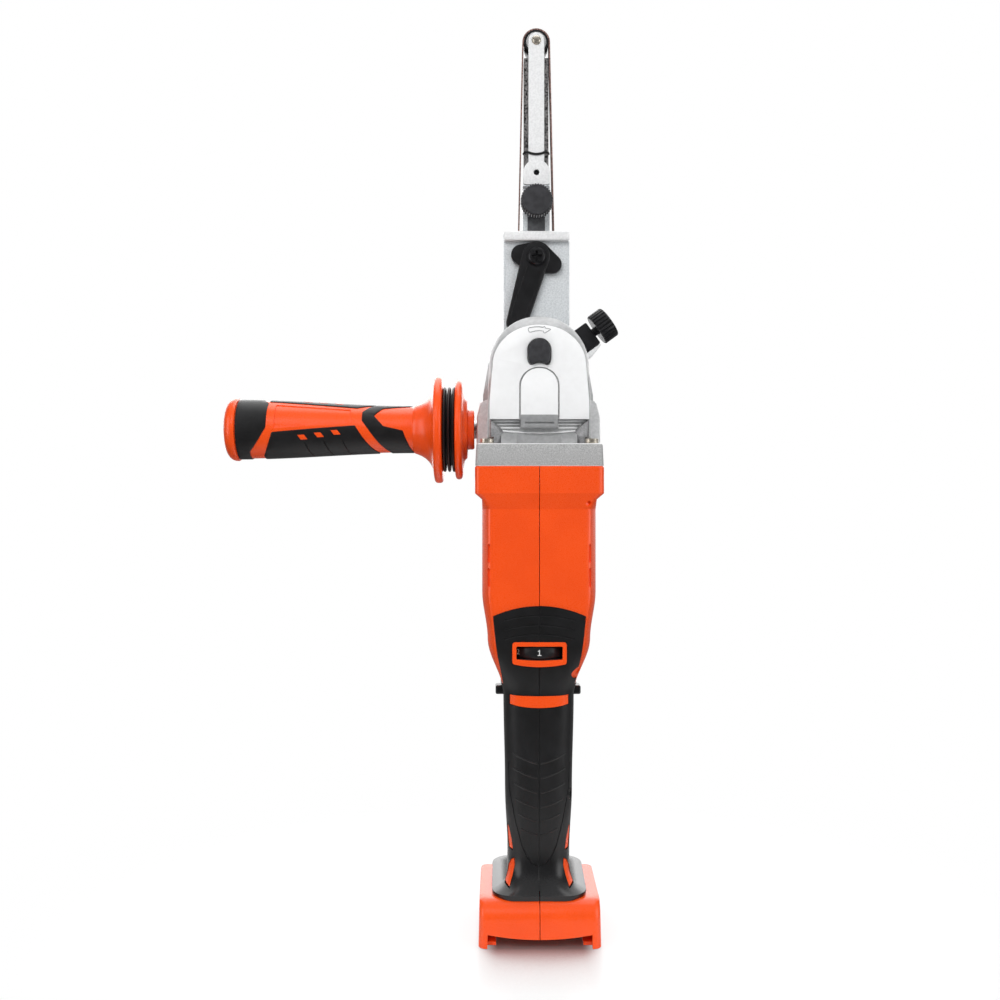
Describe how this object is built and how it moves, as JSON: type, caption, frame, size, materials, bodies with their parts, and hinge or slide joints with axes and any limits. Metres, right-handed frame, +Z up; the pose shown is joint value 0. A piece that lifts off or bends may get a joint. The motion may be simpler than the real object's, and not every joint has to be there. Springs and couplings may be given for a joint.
{
  "type": "cordless power file",
  "caption": "Cordless belt file with an upright motor grip, a swinging belt arm on a cast gear head, a tension lever, a tracking knob and a ribbed side handle, standing on its battery foot.",
  "frame": {"origin": "on the floor under the motor axis, at the mouth plane of the battery slide", "axes": "+Z up along the motor axis, +Y away from the viewer towards the belt arm and the trigger, +X to the viewer's right; the side handle points along -X"},
  "size_m": [0.2237, 0.0899, 0.5187],
  "materials": {
    "orange_plastic": "satin moulded",
    "soft_black": "matte soft-touch",
    "black_plastic": "satin moulded",
    "cast_metal": "bead-blasted casting",
    "painted_metal": "hammered paint",
    "steel": "turned",
    "dark_steel": "oiled black",
    "copper": "enamelled wire",
    "brass": "stamped",
    "circuit_board": "solder resist",
    "belt_cloth": "coated abrasive"
  },
  "bodies": {
    "housing": {"housing_left": "orange_plastic", "housing_right": "orange_plastic", "overmould_left": "soft_black", "overmould_right": "soft_black", "housing_screws": "dark_steel", "dial_potentiometer": "circuit_board", "switch_body": "black_plastic", "trigger_spring": "steel", "controller_tray": "black_plastic", "control_board": "circuit_board", "terminal_block": "black_plastic", "battery_contacts": "brass", "stator_core": "dark_steel", "stator_windings": "copper", "motor_front_bearing": "steel", "motor_rear_bearing": "steel", "air_baffle": "black_plastic", "gear_housing": "cast_metal", "gear_housing_screws": "dark_steel", "lock_spring": "steel", "needle_bearing": "steel", "ball_bearing": "steel", "bearing_plate": "cast_metal", "bearing_plate_screws": "dark_steel", "handle_stud": "steel", "handle_flange": "orange_plastic", "handle_damper": "soft_black", "handle_core": "orange_plastic", "handle_overmould": "soft_black", "handle_end_cap": "orange_plastic"},
    "rotor": {"rotor_core": "steel", "motor_shaft": "steel", "cooling_fan": "black_plastic", "pinion": "steel"},
    "spindle": {"spindle": "steel", "ring_gear": "steel", "drive_wheel_hub": "steel", "drive_wheel_tyre": "soft_black", "wheel_screw": "dark_steel"},
    "lock_button": {"lock_button": "black_plastic"},
    "trigger": {"trigger": "soft_black"},
    "selector": {"selector_bar": "black_plastic"},
    "dial": {"speed_dial": "black_plastic"},
    "arm_base": {"arm_housing": "painted_metal", "belt_cover": "painted_metal", "cover_screws": "dark_steel", "clamp_block": "black_plastic", "abrasive_belt": "belt_cloth", "tension_spring": "steel"},
    "clamp": {"clamp_knob": "black_plastic"},
    "arm": {"arm_slider": "dark_steel", "lever_screw": "steel", "arm_root": "painted_metal", "file_arm": "painted_metal", "platens": "black_plastic", "tip_pin": "steel"},
    "lever": {"tension_lever": "black_plastic"},
    "tracking": {"tracking_knob": "black_plastic"},
    "tip_roller": {"tip_roller_hub": "steel", "tip_roller_tyre": "soft_black"}
  },
  "joints": [
    {"name": "spindle_spin", "type": "hinge", "parent": "housing", "child": "spindle", "pos_m": [0, 0, 0.3135], "axis": [0, 1, 0], "continuous": true},
    {"name": "rotor_spin", "type": "hinge", "parent": "housing", "child": "rotor", "pos_m": [0, 0, 0.2], "axis": [0, 0, 1], "continuous": true},
    {"name": "lock_button_press", "type": "slide", "parent": "housing", "child": "lock_button", "axis": [0, 1, 0], "range_m": [0, 0.004], "stiffness_N_per_m": 600, "springref_m": -0.002, "deforming": ["lock_spring"]},
    {"name": "trigger_pull", "type": "slide", "parent": "housing", "child": "trigger", "axis": [0, -1, 0], "range_m": [0, 0.006], "stiffness_N_per_m": 500, "springref_m": -0.004, "deforming": ["trigger_spring"]},
    {"name": "selector_slide", "type": "slide", "parent": "housing", "child": "selector", "axis": [1, 0, 0], "range_m": [-0.004, 0.004]},
    {"name": "dial_turn", "type": "hinge", "parent": "housing", "child": "dial", "pos_m": [0, -0.01341, 0.1572], "axis": [0, 0, 1], "range_deg": [0, 250]},
    {"name": "arm_swing", "type": "hinge", "parent": "housing", "child": "arm_base", "pos_m": [0, 0, 0.3135], "axis": [0, 1, 0], "range_deg": [-60, 60]},
    {"name": "clamp_knob_turn", "type": "hinge", "parent": "arm_base", "child": "clamp", "pos_m": [0.04045, 0.0222, 0.34289], "axis": [0.809, 0, 0.5878], "range_deg": [-180, 180]},
    {"name": "arm_slide", "type": "slide", "parent": "arm_base", "child": "arm", "axis": [0, 0, 1], "range_m": [-0.0072, 0], "stiffness_N_per_m": 1500, "springref_m": 0.012, "deforming": ["tension_spring", "abrasive_belt"]},
    {"name": "lever_turn", "type": "hinge", "parent": "arm", "child": "lever", "pos_m": [0, 0.0235, 0.3819], "axis": [0, 1, 0], "range_deg": [0, 80]},
    {"name": "tracking_knob_turn", "type": "hinge", "parent": "arm", "child": "tracking", "pos_m": [0, 0.02, 0.41405], "axis": [0, 1, 0], "range_deg": [-180, 180]},
    {"name": "tip_roller_spin", "type": "hinge", "parent": "arm", "child": "tip_roller", "pos_m": [0, 0.038, 0.51053], "axis": [0, 1, 0], "continuous": true}
  ],
  "couplings": [
    {"joint": "rotor_spin", "follows": "spindle_spin", "ratio": 3},
    {"joint": "tip_roller_spin", "follows": "spindle_spin", "ratio": 1.6197},
    {"joint": "lever_turn", "follows": "arm_slide", "rad_per_m": -193.93}
  ]
}
